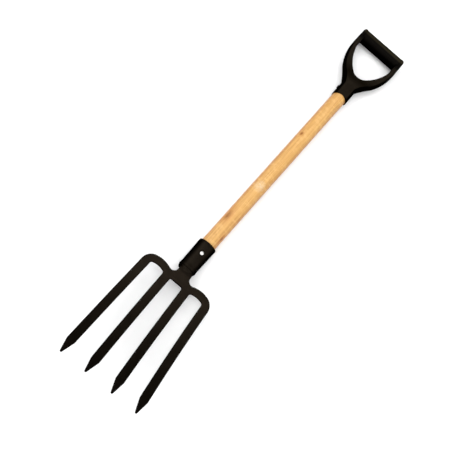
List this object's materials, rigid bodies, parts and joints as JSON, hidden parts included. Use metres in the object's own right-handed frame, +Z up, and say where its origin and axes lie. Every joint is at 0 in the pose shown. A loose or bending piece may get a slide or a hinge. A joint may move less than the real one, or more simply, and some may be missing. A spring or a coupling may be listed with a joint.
{
  "type": "garden fork",
  "caption": "Digging fork with slightly dished tines on a steel socket, a straight wooden shaft and a moulded D-shaped hand grip, lying on its back.",
  "frame": {"origin": "on the floor, straight below the shaft's axis, half-way along the tool as it lies on its back", "axes": "+Y along the shaft from the tines towards the hand grip, +Z up out of the concave front of the tines, +X across to the right seen from the front with the grip up"},
  "size_m": [0.2104, 1.0591, 0.0876],
  "materials": {
    "black_enamel": "satin",
    "ash_wood": "varnished",
    "black_plastic": "satin",
    "zinc_plate": "plated"
  },
  "bodies": {
    "root": {"fork_head": "black_enamel", "neck_weld": "black_enamel", "socket": "black_enamel", "socket_screw": "zinc_plate", "shaft": "ash_wood", "d_handle": "black_plastic", "collar_screw": "black_enamel"}
  },
  "joints": []
}
